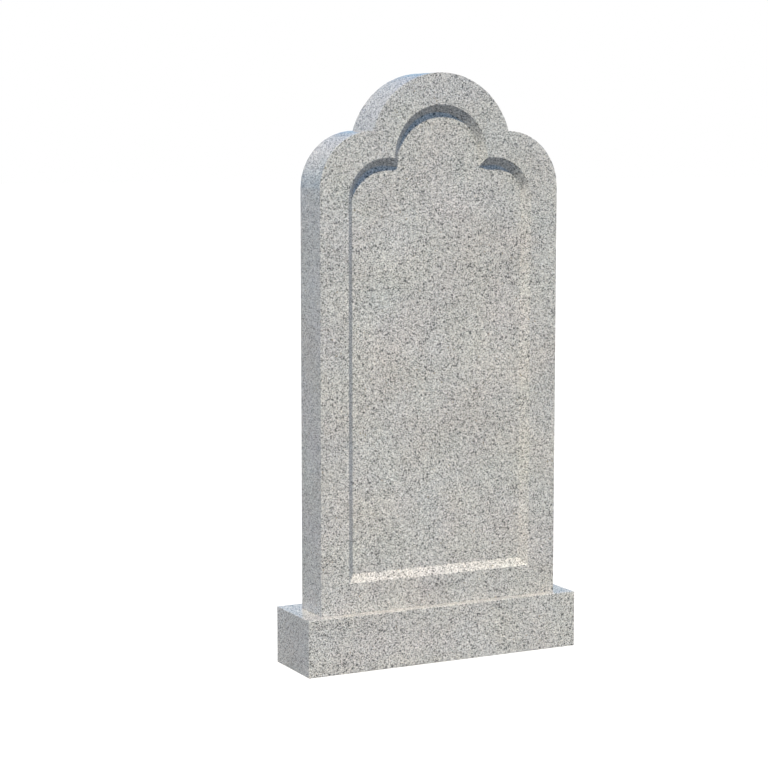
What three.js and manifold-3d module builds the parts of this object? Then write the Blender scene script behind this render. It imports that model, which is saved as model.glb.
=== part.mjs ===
// An upright granite headstone: a slab with a round head between two round shoulders and a sunk,
// bevelled panel on its front, standing on a plain plinth.
// Millimetres, +Z up. The front faces -Y, and the origin is the middle of the plinth's underside.

import * as THREE from 'three';
import { mergeVertices, toCreasedNormals } from 'three/addons/utils/BufferGeometryUtils.js';
import Module from 'manifold-3d';

// The slab
const SLAB_WIDTH = 700;
const SLAB_HEIGHT = 1400;
const SLAB_THICKNESS = 120;
const SHOULDER_RADIUS = 150;
const HEAD_RISE = 150; // from the tops of the shoulders to the crown

// The sunk panel on the slab's front, placed by the face that is left standing round it
const PANEL_SIDE_BORDER = 80;
const PANEL_FOOT_BORDER = 80;
const PANEL_SHOULDER_BORDER = 69; // over the panel's shoulders
const PANEL_NECK_BORDER = 63; // beside the corners where the shoulders meet the head
const PANEL_CROWN_BORDER = 82;
const PANEL_SHOULDER_RADIUS = 111;
const PANEL_BEVEL = 20; // width of the sloping wall, seen from the front
const PANEL_DEPTH = 20;

// From the lip to the floor, the corners where the wall's shoulders meet its head run in and down.
const NECK_CORNER_RUN = 17;
const NECK_CORNER_DROP = 24;

// The plinth, and how far it stands out from under the slab
const PLINTH_HEIGHT = 150;
const FRONT_LEDGE = 30;
const BACK_LEDGE = 50;
const SIDE_LEDGE = 50;

const BED_JOINT = 0.3; // between the plinth's top and the slab's foot

// Straight steps in a quarter turn and in the slab's head
const QUARTER_STEPS = 24;
const HEAD_STEPS = 48;

const CUTTER_REACH = 10; // how far in front of the face the cut for the panel starts
const SHARP_EDGE = Math.PI / 6; // faces that meet at more than this angle are shaded apart

const GRANITE = { color: 0xb6b3ae, roughness: 0.35, metalness: 0 };

const PLINTH_LENGTH = SLAB_WIDTH + 2 * SIDE_LEDGE;
const PLINTH_DEPTH = FRONT_LEDGE + SLAB_THICKNESS + BACK_LEDGE;
const SLAB_FRONT = FRONT_LEDGE - PLINTH_DEPTH / 2;
const SHOULDER_TOP = SLAB_HEIGHT - HEAD_RISE;
const HEAD_HALF_WIDTH = SLAB_WIDTH / 2 - SHOULDER_RADIUS;
const PANEL_SHOULDER_TOP = SHOULDER_TOP - PANEL_SHOULDER_BORDER;

// Points round part of a circle, from one angle to another, both ends included.
function arc(centreX, centreZ, radius, from, to, steps) {
  return new THREE.ArcCurve(centreX, centreZ, radius, from, to, false).getPoints(steps);
}

// The circle through a crown on the centre line and two springing points level with each other.
function headCircle(halfWidth, spring, crown) {
  const rise = crown - spring;
  const radius = (halfWidth ** 2 + rise ** 2) / (2 * rise);
  return { radius, centreZ: crown - radius };
}

// The slab's outline seen from the front, anticlockwise from its lower left corner.
function slabOutline() {
  const side = SLAB_WIDTH / 2;
  const shoulderZ = SHOULDER_TOP - SHOULDER_RADIUS;
  const head = headCircle(HEAD_HALF_WIDTH, SHOULDER_TOP, SLAB_HEIGHT);
  const start = Math.atan2(SHOULDER_TOP - head.centreZ, HEAD_HALF_WIDTH);
  const right = arc(HEAD_HALF_WIDTH, shoulderZ, SHOULDER_RADIUS, 0, Math.PI / 2, QUARTER_STEPS);
  const crown = arc(0, head.centreZ, head.radius, start, Math.PI - start, HEAD_STEPS);
  const left = arc(-HEAD_HALF_WIDTH, shoulderZ, SHOULDER_RADIUS, Math.PI / 2, Math.PI, QUARTER_STEPS);
  return [
    new THREE.Vector2(-side, 0),
    new THREE.Vector2(side, 0),
    ...right,
    ...crown.slice(1),
    ...left.slice(1),
  ];
}

// The panel's outline anywhere between its lip, at share 0, and its floor, at share 1.
function panelOutline(share) {
  const inset = share * PANEL_BEVEL;
  const side = SLAB_WIDTH / 2 - PANEL_SIDE_BORDER - inset;
  const foot = PANEL_FOOT_BORDER + inset;
  const radius = PANEL_SHOULDER_RADIUS - inset;
  const shoulderX = side - radius;
  const shoulderZ = PANEL_SHOULDER_TOP - PANEL_SHOULDER_RADIUS;
  const right = arc(shoulderX, shoulderZ, radius, 0, Math.PI / 2, QUARTER_STEPS);
  const left = arc(-shoulderX, shoulderZ, radius, Math.PI / 2, Math.PI, QUARTER_STEPS);
  const neck = HEAD_HALF_WIDTH - PANEL_NECK_BORDER;
  const head = headCircle(neck, PANEL_SHOULDER_TOP, SLAB_HEIGHT - PANEL_CROWN_BORDER);
  const start = Math.atan2(PANEL_SHOULDER_TOP - head.centreZ, neck);
  const crown = arc(0, head.centreZ, head.radius - inset, start, Math.PI - start, HEAD_STEPS);
  const cornerX = neck - share * NECK_CORNER_RUN;
  const cornerZ = PANEL_SHOULDER_TOP - share * NECK_CORNER_DROP;
  return [
    new THREE.Vector2(-side, foot),
    new THREE.Vector2(side, foot),
    ...right,
    new THREE.Vector2(cornerX, cornerZ),
    ...crown.slice(1, -1),
    new THREE.Vector2(-cornerX, cornerZ),
    ...left,
  ];
}

// A closed solid through outlines with equally many points, the first one nearest to -Y.
function loft(outlines, depths) {
  const count = outlines[0].length;
  const last = outlines.length - 1;
  const positions = outlines.flatMap((outline, k) => (
    outline.flatMap((point) => [point.x, depths[k], point.y])));
  const front = THREE.ShapeUtils.triangulateShape(outlines[0], []);
  const back = THREE.ShapeUtils.triangulateShape(outlines[last], []);
  const index = [
    ...front.flat(),
    ...back.flatMap(([a, b, c]) => [last * count + c, last * count + b, last * count + a]),
  ];
  for (let k = 0; k < last; k += 1) {
    for (let i = 0; i < count; i += 1) {
      const a = k * count + i;
      const b = k * count + (i + 1) % count;
      // The two halves are split along mirrored diagonals, so that they are alike.
      if (outlines[k][i].x > 0) {
        index.push(a, a + count, b + count, a, b + count, b);
      } else {
        index.push(a, a + count, b, b, a + count, b + count);
      }
    }
  }
  const geometry = new THREE.BufferGeometry();
  geometry.setAttribute('position', new THREE.Float32BufferAttribute(positions, 3));
  geometry.setIndex(index);
  return geometry;
}

// The stone cut away for the panel: straight in to the face, then narrowing down to the floor.
function sinking() {
  const lip = panelOutline(0);
  const depths = [SLAB_FRONT - CUTTER_REACH, SLAB_FRONT, SLAB_FRONT + PANEL_DEPTH];
  return loft([lip, lip, panelOutline(1)], depths);
}

const wasm = await Module();
wasm.setup();

function toSolid(geometry) {
  const bare = geometry.clone();
  bare.deleteAttribute('normal');
  bare.deleteAttribute('uv');
  const merged = mergeVertices(bare);
  return new wasm.Manifold(new wasm.Mesh({
    numProp: 3,
    vertProperties: new Float32Array(merged.attributes.position.array),
    triVerts: new Uint32Array(merged.index.array),
  }));
}

function toGeometry(solid) {
  const mesh = solid.getMesh();
  const geometry = new THREE.BufferGeometry();
  geometry.setAttribute('position', new THREE.Float32BufferAttribute(mesh.vertProperties, 3));
  geometry.setIndex(new THREE.Uint32BufferAttribute(mesh.triVerts, 1));
  return toCreasedNormals(geometry, SHARP_EDGE);
}

// The slab with its foot at height 0
function slabGeometry() {
  const block = new THREE.ExtrudeGeometry(new THREE.Shape(slabOutline()), {
    depth: SLAB_THICKNESS,
    bevelEnabled: false,
  });
  block.rotateX(Math.PI / 2);
  block.translate(0, SLAB_FRONT + SLAB_THICKNESS, 0);
  return toGeometry(toSolid(block).subtract(toSolid(sinking())));
}

function stone(name, geometry) {
  const mesh = new THREE.Mesh(geometry, new THREE.MeshStandardMaterial(GRANITE));
  mesh.name = name;
  return mesh;
}

const slab = stone('headstone_slab', slabGeometry());
slab.position.z = PLINTH_HEIGHT + BED_JOINT;

const plinth = stone('plinth', new THREE.BoxGeometry(PLINTH_LENGTH, PLINTH_DEPTH, PLINTH_HEIGHT));
plinth.position.z = PLINTH_HEIGHT / 2;

const headstone = new THREE.Group();
headstone.name = 'upright_headstone';
headstone.add(plinth, slab);

export default headstone;
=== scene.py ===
# The looks of an upright granite headstone: a polished slab with a round head between two round
# shoulders and a sunk, bevelled panel, standing on a plain plinth.
# Metres, +Z up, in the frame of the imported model. The face with the panel looks along -Y.

from math import acos, atan2, cos, pi, radians, sin, sqrt

import bmesh
import bpy
from bpy.props import FloatProperty, FloatVectorProperty, PointerProperty
from bpy.types import Operator, Panel, PropertyGroup
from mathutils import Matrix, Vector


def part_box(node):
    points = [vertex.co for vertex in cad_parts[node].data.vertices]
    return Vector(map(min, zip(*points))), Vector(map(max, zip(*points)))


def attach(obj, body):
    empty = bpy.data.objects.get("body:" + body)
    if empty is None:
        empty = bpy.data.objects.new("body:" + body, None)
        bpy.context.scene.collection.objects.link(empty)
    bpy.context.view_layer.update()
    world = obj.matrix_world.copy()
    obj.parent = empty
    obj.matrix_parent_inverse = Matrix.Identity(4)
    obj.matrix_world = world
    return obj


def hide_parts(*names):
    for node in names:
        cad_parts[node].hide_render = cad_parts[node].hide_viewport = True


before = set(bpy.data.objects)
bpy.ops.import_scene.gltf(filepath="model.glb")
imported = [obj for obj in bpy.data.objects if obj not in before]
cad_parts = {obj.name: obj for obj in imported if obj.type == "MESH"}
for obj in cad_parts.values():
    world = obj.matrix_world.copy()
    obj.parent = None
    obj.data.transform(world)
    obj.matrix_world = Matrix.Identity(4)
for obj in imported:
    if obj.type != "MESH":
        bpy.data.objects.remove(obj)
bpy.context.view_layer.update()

bl_info = {
    "name": "Upright granite headstone",
    "version": (1, 0, 0),
    "blender": (4, 5, 0),
    "location": "3D View > Sidebar > Headstone",
    "description": "Builds a polished granite slab and its plinth, with the floor, light and camera",
    "category": "Add Mesh",
}

SLAB_LOW, SLAB_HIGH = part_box("headstone_slab")
PLINTH_LOW, PLINTH_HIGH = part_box("plinth")
BODY = "root"

# How finely the stones are divided
SIDE_STEPS = 96
SHOULDER_STEPS = 40
LEVEL_STEPS = 10
MIDDLE_STEPS = 32
HEAD_STEPS = 96
BORDER_STEPS = 8
WALL_STEPS = 8
EDGE_STEPS = 12
ARRIS_STEPS = 4
PLINTH_LONG_STEPS = 80
PLINTH_DEEP_STEPS = 20
PLINTH_HIGH_STEPS = 15
WELD = 1e-6  # points nearer than this are one
SHARP = radians(35)  # faces that meet at more than this are shaded apart


def length(name, description, default, least=0.0):
    return FloatProperty(name=name, description=description, default=default, min=least, unit="LENGTH",
                         precision=4)


def colour(name, description, default):
    return FloatVectorProperty(name=name, description=description, default=default, min=0, max=10,
                               subtype="COLOR")


def share(name, description, default):
    return FloatProperty(name=name, description=description, default=default, min=0, max=1,
                         subtype="FACTOR")


def angle(name, description, degrees):
    return FloatProperty(name=name, description=description, default=radians(degrees), subtype="ANGLE")


class SlabSizes(PropertyGroup):
    """Sizes of the slab and of the panel sunk into its face."""

    half_width: length("Half width", "From the middle of the slab to its side", SLAB_HIGH.x)
    shoulder_radius: length("Shoulder radius", "Radius of the two round shoulders", 0.150)
    head_rise: length("Head rise", "Height of the crown over the shoulders", 0.150)
    side_border: length("Side border", "Face left standing beside the panel", 0.080)
    foot_border: length("Foot border", "Face left standing under the panel", 0.080)
    shoulder_border: length("Shoulder border", "Face left standing over the panel's shoulders", 0.069)
    neck_border: length("Neck border", "Face between the stone's inner corners and the panel's", 0.063)
    crown_border: length("Crown border", "Face left standing over the panel's crown", 0.082)
    panel_shoulder: length("Panel shoulder radius", "Radius of the panel's shoulders", 0.111)
    bevel: length("Bevel", "Width and depth of the sloping wall of the panel", 0.020)
    corner_run: length("Corner run", "How far the wall's corners under the head run in", 0.017)
    corner_drop: length("Corner drop", "How far these corners drop on the way to the floor", 0.024)
    arris: length("Arris", "Radius of the eased edges", 0.0006, 0.0001)
    lip: length("Lip", "Radius of the eased edge round the panel", 0.0012, 0.0001)


class PlinthSizes(PropertyGroup):
    """Sizes of the plinth."""

    arris: length("Arris", "Radius of the eased edges", 0.0010, 0.0001)


class GraniteLook(PropertyGroup):
    """Colours and scale of the polished granite."""

    cream: colour("Cream feldspar", "Palest crystals", (0.743, 0.718, 0.691))
    pale: colour("Pale feldspar", "Commonest crystals", (0.523, 0.507, 0.49))
    quartz: colour("Quartz", "Grey, half clear crystals", (0.25, 0.248, 0.243))
    mica: colour("Mica", "Dark flecks", (0.053, 0.052, 0.055))
    stain: colour("Stain", "Rare brown crystals", (0.33, 0.26, 0.17))
    crystal: length("Crystal", "Usual size of a crystal", 0.0019, 0.0005)
    polish: share("Roughness", "Roughness of the polished crystals", 0.17)
    unevenness: share("Unevenness", "How far the polish dips between crystals", 0.06)


class StageLook(PropertyGroup):
    """Floor, light and camera."""

    floor: colour("Floor", "Colour of the floor", (0.90, 0.90, 0.90))
    sun_colour: colour("Sun colour", "Colour of the main light", (1.0, 0.913, 0.72))
    sun_strength: FloatProperty(name="Sun strength", description="Strength of the main light",
                                default=4.93, min=0)
    sun_turn: angle("Sun turn", "How far to the left of the stone the main light stands", 31.0)
    sun_height: angle("Sun height", "Height of the main light over the floor", 54.6)
    sun_size: angle("Sun size", "Width of the main light as the stone sees it", 1.0)
    zenith: colour("Sky overhead", "Colour of the light from above", (0.31, 0.285, 0.50))
    low_sky: colour("Low sky", "Colour of the light from the sides", (0.13, 0.32, 0.59))
    haze: colour("Haze", "Colour of the sky just over the horizon", (0.12, 0.42, 0.74))
    ground: colour("Light from below", "Colour of the light thrown up from the ground", (0.37, 0.36, 0.35))


class Value:
    """A number in a shader. Arithmetic on it adds Math nodes."""

    def __init__(self, recipe, socket):
        self.recipe = recipe
        self.socket = socket

    def maths(self, operation, first, second):
        return self.recipe.value("ShaderNodeMath", {"operation": operation}, {0: first, 1: second})

    def __add__(self, other):
        return self.maths("ADD", self, other)

    def __radd__(self, other):
        return self.maths("ADD", other, self)

    def __sub__(self, other):
        return self.maths("SUBTRACT", self, other)

    def __rsub__(self, other):
        return self.maths("SUBTRACT", other, self)

    def __mul__(self, other):
        return self.maths("MULTIPLY", self, other)

    def __rmul__(self, other):
        return self.maths("MULTIPLY", other, self)

    def __lt__(self, other):
        return self.maths("LESS_THAN", self, other)

    def __gt__(self, other):
        return self.maths("GREATER_THAN", self, other)


class Recipe:
    """A shader that is being written, with one method that adds any node."""

    def __init__(self, tree):
        self.tree = tree
        tree.nodes.clear()

    def node(self, kind, settings=None, sockets=None):
        made = self.tree.nodes.new(kind)
        for name, setting in (settings or {}).items():
            if name == "stops":
                self.set_stops(made.color_ramp, setting)
            else:
                setattr(made, name, setting)
        for name, given in (sockets or {}).items():
            self.feed(made.inputs[name], given)
        return made

    def set_stops(self, ramp, stops):
        while len(ramp.elements) < len(stops):
            ramp.elements.new(1.0)
        for element, (position, tint) in zip(ramp.elements, stops):
            element.position = position
            element.color = (*tint, 1.0)

    def feed(self, socket, given):
        if isinstance(given, Value):
            given = given.socket
        if isinstance(given, bpy.types.NodeSocket):
            self.tree.links.new(given, socket)
        elif socket.type == "RGBA" and len(given) == 3:
            socket.default_value = (*given, 1.0)
        else:
            socket.default_value = given

    def value(self, kind, settings=None, sockets=None, output=0):
        return Value(self, self.node(kind, settings, sockets).outputs[output])

    def blend(self, factor, first, second, kind="MIX"):
        """Two colours mixed by a factor."""
        settings = {"data_type": "RGBA", "blend_type": kind, "clamp_factor": True}
        return self.node("ShaderNodeMix", settings, {0: factor, 6: first, 7: second}).outputs[2]

    def vector(self, operation, first, second=(0, 0, 0), scale=1.0):
        made = self.node("ShaderNodeVectorMath", {"operation": operation}, {0: first})
        if operation == "SCALE":
            self.feed(made.inputs["Scale"], scale)
        else:
            self.feed(made.inputs[1], second)
        return made.outputs[0]

    def ramp(self, factor, stops):
        """A colour that runs through the given stops."""
        return self.node("ShaderNodeValToRGB", {"stops": stops}, {"Fac": factor}).outputs["Color"]

    def noise(self, place, scale, detail=2.0):
        sockets = {"Vector": place, "Scale": scale, "Detail": detail, "Roughness": 0.5}
        return self.node("ShaderNodeTexNoise", {"noise_dimensions": "3D"}, sockets)

    def cells(self, place, size):
        """Crystals of a size: a random colour for each, and the distance from its middle."""
        settings = {"voronoi_dimensions": "3D", "feature": "F1"}
        return self.node("ShaderNodeTexVoronoi", settings, {
            "Vector": place, "Scale": 1.0 / size, "Randomness": 1.0,
        })

    def parts(self, tint):
        """The three random numbers in a random colour."""
        split = self.node("ShaderNodeSeparateColor", None, {"Color": tint})
        return [Value(self, socket) for socket in split.outputs]


def new_shader(name):
    material = bpy.data.materials.new(name)
    material.use_nodes = True
    return material, Recipe(material.node_tree)


# Sizes in the granite, in crystals
STIR = 1.2
RAGGEDNESS = 0.6
CLUSTER = 1.9
GRAIN = 0.5
DIP = 2.0

# How much each has to say in a spot's mineral
CRYSTAL_SHARE = 0.72
GRAIN_SHARE = 0.18
CLUSTER_SHARE = 0.10

# The spot's mineral, from the lowest sum of these to the highest
MINERALS = (
    (0.19, "mica"),
    (0.25, "quartz"),
    (0.37, "quartz"),
    (0.44, "pale"),
    (0.60, "pale"),
    (0.72, "cream"),
)

# Brightness of a crystal: the least, and what its own tone and its grains' tones add
CRYSTAL_LEAST = 0.875
CRYSTAL_SPREAD = 0.14
GRAIN_SPREAD = 0.10

# The cells that the dark flecks and the brown crystals lie in, in crystals, with the share of the cells
# that hold one, its radius and how much it covers
FLECK_CELL = 3.2
FLECKED = 0.09
FLECK_RADIUS = 0.24
FLECK_SPREAD = 0.25
FLECK_COVER = 0.95
STAINED = 0.008
STAIN_RADIUS = 0.35
STAIN_COVER = 0.7

# Broad drifts: how many go in a metre, and the brightness of the darkest and what the palest adds
DRIFTS = 7.0
DRIFT_LEAST = 0.85
DRIFT_SPREAD = 0.30

# Tints between which crystals and drifts vary
CRYSTAL_TINTS = ((1.03, 1.0, 0.965), (0.97, 1.0, 1.035))
WARM_DRIFTS = ((1.04, 1.0, 0.955), (0.96, 1.0, 1.045))
GREEN_DRIFTS = ((1.0, 1.035, 1.0), (1.0, 0.965, 1.0))

# The polish: roughness of the smoothest grain, what others and the flecks add, and the depth of the dips
SMOOTHEST = 0.85
ROUGH_SPREAD = 0.3
FLECK_ROUGHNESS = 0.12
DIP_DEPTH = 0.0004
IOR = 1.53

# Where in the block each stone is cut, in metres
SLAB_PLACE = (0.0, 0.0, 0.0)
PLINTH_PLACE = (1.37, 0.42, 0.88)


def granite(name, shift):
    """Polished granite, cut from the block at the given place."""
    look = bpy.context.scene.headstone_granite
    material, recipe = new_shader(name)
    place = recipe.node("ShaderNodeTexCoord").outputs["Object"]
    place = recipe.vector("ADD", place, shift)

    # The crystals' outlines are ragged, so the place is stirred a little before they are laid out.
    stir = recipe.noise(place, STIR / look.crystal).outputs["Color"]
    stir = recipe.vector("SUBTRACT", stir, (0.5, 0.5, 0.5))
    ragged = recipe.vector("ADD", place, recipe.vector("SCALE", stir, scale=RAGGEDNESS * look.crystal))

    crystals = recipe.cells(ragged, look.crystal)
    kind, tone, warmth = recipe.parts(crystals.outputs["Color"])
    clusters = recipe.cells(ragged, CLUSTER * look.crystal)
    cluster, _, _ = recipe.parts(clusters.outputs["Color"])
    grains = recipe.cells(ragged, GRAIN * look.crystal)
    grain, grain_tone, _ = recipe.parts(grains.outputs["Color"])

    # Dark mica, grey quartz and two feldspars, each crystal of one of them with grains of others
    mixed = kind * CRYSTAL_SHARE + grain * GRAIN_SHARE + cluster * CLUSTER_SHARE
    stone = recipe.ramp(mixed, [(position, getattr(look, mineral)) for position, mineral in MINERALS])
    shade = CRYSTAL_LEAST + tone * CRYSTAL_SPREAD + grain_tone * GRAIN_SPREAD
    stone = recipe.vector("SCALE", stone, scale=shade)

    # Mica also lies in separate dark flecks, and a few crystals are stained brown.
    flecks = recipe.cells(ragged, FLECK_CELL * look.crystal)
    fleck_kind, fleck_size, stain = recipe.parts(flecks.outputs["Color"])
    distance = Value(recipe, flecks.outputs["Distance"])
    fleck = (fleck_kind < FLECKED) * (distance < FLECK_RADIUS + fleck_size * FLECK_SPREAD)
    stone = recipe.blend(fleck * FLECK_COVER, stone, look.mica)
    stained = (stain > 1 - STAINED) * (distance < STAIN_RADIUS)
    stone = recipe.blend(stained * STAIN_COVER, stone, look.stain)

    # Each crystal is a little warmer or cooler than the next.
    tint = recipe.blend(warmth, *CRYSTAL_TINTS)
    stone = recipe.blend(1.0, stone, tint, "MULTIPLY")

    # Broad, faint drifts of lighter and darker, warmer and cooler, greener and redder stone
    drift = recipe.noise(place, DRIFTS).outputs["Color"]
    light, warm, green = recipe.parts(drift)
    stone = recipe.vector("SCALE", stone, scale=DRIFT_LEAST + light * DRIFT_SPREAD)
    tint = recipe.blend(warm, *WARM_DRIFTS)
    stone = recipe.blend(1.0, stone, tint, "MULTIPLY")
    tint = recipe.blend(green, *GREEN_DRIFTS)
    stone = recipe.blend(1.0, stone, tint, "MULTIPLY")

    # The polish dips gently from crystal to crystal, and a little more at the softer flecks.
    rough = look.polish * (SMOOTHEST + grain * ROUGH_SPREAD) + fleck * FLECK_ROUGHNESS
    dips = Value(recipe, recipe.noise(place, 1.0 / (DIP * look.crystal), 3.0).outputs["Fac"])
    height = dips * 0.6 + grain * 0.2 - fleck * 0.3
    bump = recipe.node("ShaderNodeBump", None, {
        "Strength": look.unevenness, "Distance": DIP_DEPTH, "Height": height,
    }).outputs["Normal"]
    shader = recipe.node("ShaderNodeBsdfPrincipled", None, {
        "Base Color": stone, "Roughness": rough, "Normal": bump, "IOR": IOR,
    })
    recipe.node("ShaderNodeOutputMaterial", None, {"Surface": shader.outputs[0]})
    return material


class Shell:
    """A closed surface put together from rings and rows of points, welded where they meet."""

    def __init__(self):
        self.points = []
        self.faces = []

    def rows(self, rows, closed=False):
        """Faces between each row, or closed ring, and the next, all with equally many points."""
        start = len(self.points)
        count = len(rows[0])
        for row in rows:
            self.points += row
        for j in range(len(rows) - 1):
            for i in range(count if closed else count - 1):
                a = start + j * count + i
                b = start + j * count + (i + 1) % count
                self.faces.append((a, b, b + count, a + count))

    def piece(self, name, material, node):
        """The finished mesh, riding on the frame in place of a CAD node."""
        mesh = bpy.data.meshes.new(name)
        mesh.from_pydata(self.points, [], self.faces)
        built = bmesh.new()
        built.from_mesh(mesh)
        bmesh.ops.remove_doubles(built, verts=built.verts, dist=WELD)
        bmesh.ops.dissolve_degenerate(built, edges=built.edges, dist=WELD)
        bmesh.ops.recalc_face_normals(built, faces=built.faces)
        if any(not edge.is_manifold for edge in built.edges):
            raise RuntimeError(name + " is not a closed surface")
        built.to_mesh(mesh)
        built.free()
        mesh.shade_smooth()
        mesh.set_sharp_from_angle(angle=SHARP)
        mesh.materials.append(material)
        piece = bpy.data.objects.new(name, mesh)
        bpy.context.scene.collection.objects.link(piece)
        even = piece.modifiers.new("Even shading", "WEIGHTED_NORMAL")
        even.keep_sharp = True
        even.weight = 100
        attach(piece, BODY)
        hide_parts(node)
        return piece


def line(start, end, steps):
    """Points from start to end, the end left out."""
    return [
        tuple(a + (b - a) * i / steps for a, b in zip(start, end))
        for i in range(steps)
    ]


def arc(centre, radius, start, end, steps):
    """Points round part of a circle, the last one left out."""
    turns = [start + (end - start) * i / steps for i in range(steps)]
    return [(centre[0] + radius * cos(turn), centre[1] + radius * sin(turn)) for turn in turns]


def mirrored(half, crown, shares):
    """A whole outline from its right half, which runs from the foot's corner up to the crown."""
    reach, height = half[0]
    foot = [(reach * part, height) for part in shares[:-1]]
    left = [(-x, z) for x, z in reversed(half)][:-1]
    return foot + half + [crown] + left


def head_circle(half_width, spring, crown):
    """Middle height and radius of the circle through a crown and two level springing points."""
    rise = crown - spring
    radius = (half_width ** 2 + rise ** 2) / (2 * rise)
    return crown - radius, radius


class SlabShape:
    """The slab's outline and its panel's, drawn in by any inset."""

    def __init__(self, sizes):
        self.half_width = sizes.half_width
        self.foot = SLAB_LOW.z
        self.crown = SLAB_HIGH.z
        self.radius = sizes.shoulder_radius
        self.shoulder_top = self.crown - sizes.head_rise
        self.shoulder = (self.half_width - self.radius, self.shoulder_top - self.radius)
        self.head_z, self.head_radius = head_circle(self.shoulder[0], self.shoulder_top, self.crown)
        self.panel_side = self.half_width - sizes.side_border
        self.panel_foot = self.foot + sizes.foot_border
        self.panel_top = self.shoulder_top - sizes.shoulder_border
        self.panel_radius = sizes.panel_shoulder
        self.panel_shoulder = (self.panel_side - self.panel_radius, self.panel_top - self.panel_radius)
        neck = self.shoulder[0] - sizes.neck_border
        panel_crown = self.crown - sizes.crown_border
        self.panel_head_z, self.panel_head_radius = head_circle(neck, self.panel_top, panel_crown)
        self.neck = neck
        self.corner_run = sizes.corner_run / sizes.bevel
        self.corner_drop = sizes.corner_drop / sizes.bevel
        # Columns across the foot, as shares of half its width, that suit the corners under the head
        self.floor_corner = self.panel_corner(sizes.bevel)
        middle = self.floor_corner[0] / (self.panel_side - sizes.bevel)
        shares = line((-1.0,), (-middle,), LEVEL_STEPS)
        shares += line((-middle,), (middle,), MIDDLE_STEPS)
        shares += line((middle,), (1.0,), LEVEL_STEPS)
        self.shares = [part for part, in shares] + [1.0]

    def slab_half(self, inset):
        """Right half of the slab's outline, with its foot left where it stands on the plinth."""
        side = self.half_width - inset
        radius = self.radius - inset
        head_radius = self.head_radius - inset
        across = self.shoulder[0]
        down = self.shoulder[1] - self.head_z
        apart = sqrt(across ** 2 + down ** 2)
        # The corner where the shoulder's circle crosses the head's
        along = (apart ** 2 + head_radius ** 2 - radius ** 2) / (2 * apart)
        head_turn = atan2(down, across) + acos(along / head_radius)
        corner = (head_radius * cos(head_turn), self.head_z + head_radius * sin(head_turn))
        turn = atan2(corner[1] - self.shoulder[1], corner[0] - self.shoulder[0])
        half = line((side, self.foot), (side, self.shoulder[1]), SIDE_STEPS)
        half += arc(self.shoulder, radius, 0, turn, SHOULDER_STEPS + LEVEL_STEPS)
        half += arc((0, self.head_z), head_radius, head_turn, pi / 2, HEAD_STEPS // 2)
        return half, (0, self.head_z + head_radius)

    def panel_corner(self, inset):
        """Where the panel's right shoulder meets its head."""
        return self.neck - inset * self.corner_run, self.panel_top - inset * self.corner_drop

    def panel_half(self, inset):
        """Right half of the panel's outline, with a straight run between its shoulder and its head."""
        side = self.panel_side - inset
        radius = self.panel_radius - inset
        head_radius = self.panel_head_radius - inset
        head_turn = atan2(self.panel_top - self.panel_head_z, self.neck)
        corner = self.panel_corner(inset)
        half = line((side, self.panel_foot + inset), (side, self.panel_shoulder[1]), SIDE_STEPS)
        half += arc(self.panel_shoulder, radius, 0, pi / 2, SHOULDER_STEPS)
        half += line((self.panel_shoulder[0], self.panel_top - inset), corner, LEVEL_STEPS)
        head = arc((0, self.panel_head_z), head_radius, head_turn, pi / 2, HEAD_STEPS // 2)
        return half + [corner] + head[1:], (0, self.panel_head_z + head_radius)


def at_depth(outline, y):
    return [(x, y, z) for x, z in outline]


def between(first, second, steps):
    """Rings from one to the other, both included."""
    rings = []
    for i in range(steps + 1):
        t = i / steps
        rings.append([tuple(a + (b - a) * t for a, b in zip(p, q)) for p, q in zip(first, second)])
    return rings


def fill_floor(shell, half, crown, y, corner):
    """The panel's floor in rows from its foot to its crown, with a middle as wide as its neck."""
    neck, corner_z = corner
    below = half[:SIDE_STEPS + SHOULDER_STEPS + 1]
    shoulder_z = half[SIDE_STEPS][1]
    sag = (below[-1][1] - corner_z) / (below[-1][1] - shoulder_z)
    # The rows sink a little towards the neck, so that the last one ends in the corner.
    column = [(neck, z - sag * max(0, z - shoulder_z)) for _, z in below]
    for side in (1, -1):
        rows = between(at_depth(below, y), at_depth(column, y), LEVEL_STEPS)
        shell.rows([[(side * x, y, z) for x, _, z in row] for row in rows])
    edge = column + half[len(below) + LEVEL_STEPS:] + [crown]
    shell.rows([
        [(x * (2 * i / MIDDLE_STEPS - 1), y, z) for i in range(MIDDLE_STEPS + 1)]
        for x, z in edge
    ])


def arris_profile(radius):
    """Inset and depth of an eased square edge, from the side round to the face."""
    turns = [pi / 2 * i / ARRIS_STEPS for i in range(ARRIS_STEPS + 1)]
    return [(radius * (1 - cos(turn)), radius * (1 - sin(turn))) for turn in turns]


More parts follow.
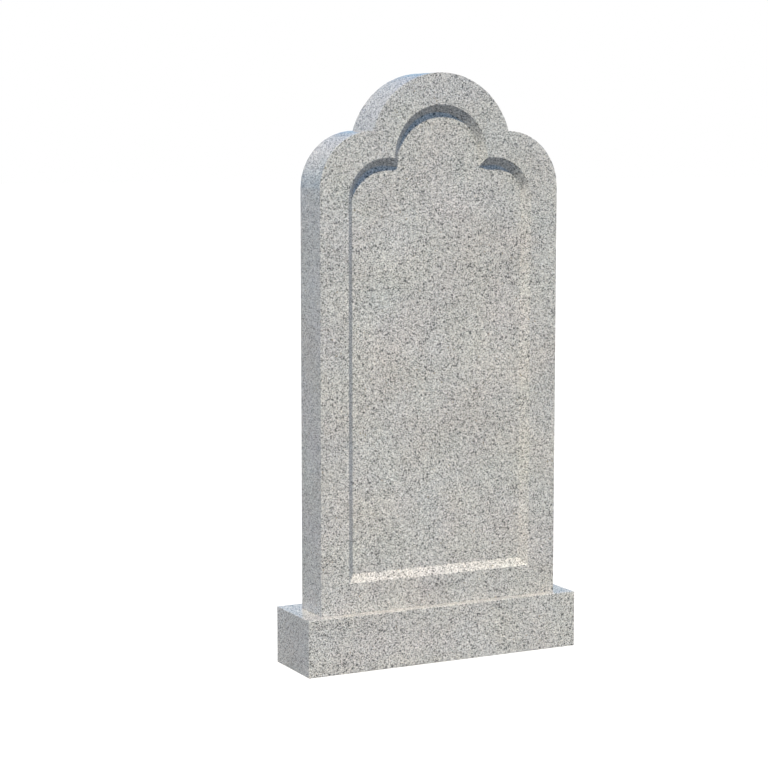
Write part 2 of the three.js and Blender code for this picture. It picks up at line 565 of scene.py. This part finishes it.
def build_slab(sizes, material):
    shape = SlabShape(sizes)
    shell = Shell()
    front = SLAB_LOW.y
    back = SLAB_HIGH.y

    def slab_ring(inset, y):
        return at_depth(mirrored(*shape.slab_half(inset), shape.shares), y)

    def panel_ring(inset, y):
        return at_depth(mirrored(*shape.panel_half(inset), shape.shares), y)

    # The sides, with an eased edge at the front and the back
    eased = arris_profile(sizes.arris)
    front_edge = [slab_ring(inset, front + depth) for inset, depth in eased]
    back_edge = [slab_ring(inset, back - depth) for inset, depth in eased]
    shell.rows(front_edge, closed=True)
    shell.rows(between(front_edge[0], back_edge[0], EDGE_STEPS), closed=True)
    shell.rows(back_edge, closed=True)

    # The eased lip, then the sloping wall down to the panel's floor
    reach = sizes.lip * (sqrt(2) - 1)
    turns = [pi / 4 * i / ARRIS_STEPS for i in range(ARRIS_STEPS + 1)]
    lip = [(sizes.lip * sin(turn) - reach, sizes.lip * (1 - cos(turn))) for turn in turns]
    start = lip[-1][0]
    slope = [start + (sizes.bevel - start) * (i + 1) / WALL_STEPS for i in range(WALL_STEPS)]
    lip += [(inset, inset) for inset in slope]
    wall = [panel_ring(inset, front + depth) for inset, depth in lip]
    shell.rows(wall, closed=True)
    shell.rows(between(front_edge[-1], wall[0], BORDER_STEPS), closed=True)

    # The panel's floor
    half, crown = shape.panel_half(sizes.bevel)
    fill_floor(shell, half, crown, front + sizes.bevel, shape.floor_corner)

    # The back
    half, crown = shape.slab_half(sizes.arris)
    shell.rows([[(x * part, back, z) for part in shape.shares] for x, z in half + [crown]])
    return shell.piece("polished_slab", material, "headstone_slab")


class HEADSTONE_OT_slab(Operator):
    """Build the polished slab with its sunk panel"""

    bl_idname = "headstone.slab"
    bl_label = "Build the slab"

    def execute(self, context):
        build_slab(context.scene.headstone_slab, granite("granite_slab", SLAB_PLACE))
        return {"FINISHED"}


def build_plinth(sizes, material):
    shell = Shell()
    radius = sizes.arris
    middle = (PLINTH_LOW + PLINTH_HIGH) / 2
    half_long = (PLINTH_HIGH.x - PLINTH_LOW.x) / 2 - radius
    half_deep = (PLINTH_HIGH.y - PLINTH_LOW.y) / 2 - radius

    def ring(inset, z):
        """The plinth in plan, with its upright corners eased."""
        corner = radius - inset
        run = []
        for turn, (along, across) in enumerate([(1, -1), (1, 1), (-1, 1), (-1, -1)]):
            centre = (middle.x + along * half_long, middle.y + across * half_deep)
            run += arc(centre, corner, (turn - 1) * pi / 2, turn * pi / 2, ARRIS_STEPS)
            steps = PLINTH_DEEP_STEPS if turn % 2 == 0 else PLINTH_LONG_STEPS
            out = (cos(turn * pi / 2), sin(turn * pi / 2))
            start = (centre[0] + corner * out[0], centre[1] + corner * out[1])
            reach = 2 * half_deep if turn % 2 == 0 else 2 * half_long
            end = (start[0] - out[1] * reach, start[1] + out[0] * reach)
            run += line(start, end, steps)
        return [(x, y, z) for x, y in run]

    eased = arris_profile(radius)
    top_edge = [ring(inset, PLINTH_HIGH.z - depth) for inset, depth in eased]
    foot_edge = [ring(inset, PLINTH_LOW.z + depth) for inset, depth in eased]
    shell.rows(top_edge, closed=True)
    shell.rows(between(top_edge[0], foot_edge[0], PLINTH_HIGH_STEPS), closed=True)
    shell.rows(foot_edge, closed=True)
    shares = [2 * i / PLINTH_LONG_STEPS - 1 for i in range(PLINTH_LONG_STEPS + 1)]
    for z in (PLINTH_LOW.z, PLINTH_HIGH.z):
        near = [(middle.x + half_long * part, middle.y - half_deep, z) for part in shares]
        far = [(x, middle.y + half_deep, z) for x, _, _ in near]
        shell.rows(between(near, far, PLINTH_DEEP_STEPS))
    return shell.piece("polished_plinth", material, "plinth")


class HEADSTONE_OT_plinth(Operator):
    """Build the plain plinth"""

    bl_idname = "headstone.plinth"
    bl_label = "Build the plinth"

    def execute(self, context):
        build_plinth(context.scene.headstone_plinth, granite("granite_plinth", PLINTH_PLACE))
        return {"FINISHED"}


FLOOR_SIZE = 120.0
FLOOR_GLOW = 0.82
FLOOR_MATT = (0.3, 0.3, 0.3)
WHITE = (1.0, 1.0, 1.0)

# The camera, as worked out from the straight edges in the photograph
CAMERA_PLACE = (-2.6109, -4.8827, 1.3739)
CAMERA_TURN = (radians(90 - 6.615), 0.0, radians(-26.904))
CAMERA_LENS = 98.215
CAMERA_SENSOR = 36.0
CAMERA_REACH = 1000.0


def build_floor(look):
    mesh = bpy.data.meshes.new("floor")
    half = FLOOR_SIZE / 2
    corners = [(-half, -half, 0), (half, -half, 0), (half, half, 0), (-half, half, 0)]
    mesh.from_pydata(corners, [], [(0, 1, 2, 3)])
    floor = bpy.data.objects.new("floor", mesh)
    bpy.context.scene.collection.objects.link(floor)
    material, recipe = new_shader("pale_floor")
    glow = recipe.node("ShaderNodeEmission", None, {"Color": look.floor, "Strength": FLOOR_GLOW}).outputs[0]
    matt = recipe.node("ShaderNodeBsdfDiffuse", None, {"Color": FLOOR_MATT}).outputs[0]
    both = recipe.node("ShaderNodeAddShader", None, {0: glow, 1: matt}).outputs[0]
    recipe.node("ShaderNodeOutputMaterial", None, {"Surface": both})
    mesh.materials.append(material)
    # The floor shows the stone's shadow, and throws no light of its own back on the stone.
    floor.visible_diffuse = False
    floor.visible_glossy = False
    floor.visible_shadow = False


# From straight down, at 0, over the horizon, at 0.5, to straight up
SKY_BANDS = (
    (0.48, "ground"),
    (0.51, "haze"),
    (0.59, "haze"),
    (0.66, "low_sky"),
    (1.0, "zenith"),
)


def build_light(look):
    lamp = bpy.data.lights.new("sun", "SUN")
    lamp.energy = look.sun_strength
    lamp.color = look.sun_colour
    lamp.angle = look.sun_size
    sun = bpy.data.objects.new("sun", lamp)
    sun.rotation_euler = (pi / 2 - look.sun_height, 0.0, -look.sun_turn)
    bpy.context.scene.collection.objects.link(sun)

    world = bpy.data.worlds.new("sky")
    world.use_nodes = True
    recipe = Recipe(world.node_tree)
    heading = recipe.node("ShaderNodeTexCoord").outputs["Generated"]
    split = recipe.node("ShaderNodeSeparateXYZ", None, {0: heading})
    height = Value(recipe, split.outputs["Z"]) * 0.5 + 0.5
    sky = recipe.ramp(height, [(position, getattr(look, band)) for position, band in SKY_BANDS])
    seen = recipe.node("ShaderNodeLightPath").outputs["Is Camera Ray"]
    sky = recipe.blend(seen, sky, WHITE)
    background = recipe.node("ShaderNodeBackground", None, {"Color": sky, "Strength": 1.0})
    recipe.node("ShaderNodeOutputWorld", None, {"Surface": background.outputs[0]})
    bpy.context.scene.world = world


def build_camera():
    lens = bpy.data.cameras.new("camera")
    lens.lens = CAMERA_LENS
    lens.sensor_width = CAMERA_SENSOR
    lens.clip_end = CAMERA_REACH
    camera = bpy.data.objects.new("camera", lens)
    camera.location = CAMERA_PLACE
    camera.rotation_euler = CAMERA_TURN
    bpy.context.scene.collection.objects.link(camera)
    bpy.context.scene.camera = camera


class HEADSTONE_OT_stage(Operator):
    """Set out the floor, the light and the camera"""

    bl_idname = "headstone.stage"
    bl_label = "Set out the stage"

    def execute(self, context):
        look = context.scene.headstone_stage
        build_floor(look)
        build_light(look)
        build_camera()
        settings = context.scene.view_settings
        settings.view_transform = "Standard"
        settings.look = "None"
        return {"FINISHED"}


class HEADSTONE_PT_sidebar(Panel):
    """Lists what can be built"""

    bl_idname = "HEADSTONE_PT_sidebar"
    bl_label = "Upright headstone"
    bl_space_type = "VIEW_3D"
    bl_region_type = "UI"
    bl_category = "Headstone"

    def draw(self, context):
        for group in (
            context.scene.headstone_slab,
            context.scene.headstone_plinth,
            context.scene.headstone_granite,
            context.scene.headstone_stage,
        ):
            box = self.layout.box()
            for name in group.__annotations__:
                box.prop(group, name)
        for operator in OPERATORS:
            self.layout.operator(operator.bl_idname)


OPERATORS = (HEADSTONE_OT_stage, HEADSTONE_OT_slab, HEADSTONE_OT_plinth)
GROUPS = {
    "headstone_slab": SlabSizes,
    "headstone_plinth": PlinthSizes,
    "headstone_granite": GraniteLook,
    "headstone_stage": StageLook,
}


def register():
    for name, group in GROUPS.items():
        bpy.utils.register_class(group)
        setattr(bpy.types.Scene, name, PointerProperty(type=group))
    for operator in OPERATORS:
        bpy.utils.register_class(operator)
    bpy.utils.register_class(HEADSTONE_PT_sidebar)


def unregister():
    bpy.utils.unregister_class(HEADSTONE_PT_sidebar)
    for operator in reversed(OPERATORS):
        bpy.utils.unregister_class(operator)
    for name, group in reversed(GROUPS.items()):
        delattr(bpy.types.Scene, name)
        bpy.utils.unregister_class(group)


def main():
    register()
    bpy.ops.headstone.stage()
    bpy.ops.headstone.slab()
    bpy.ops.headstone.plinth()


if __name__ == "__main__":
    main()
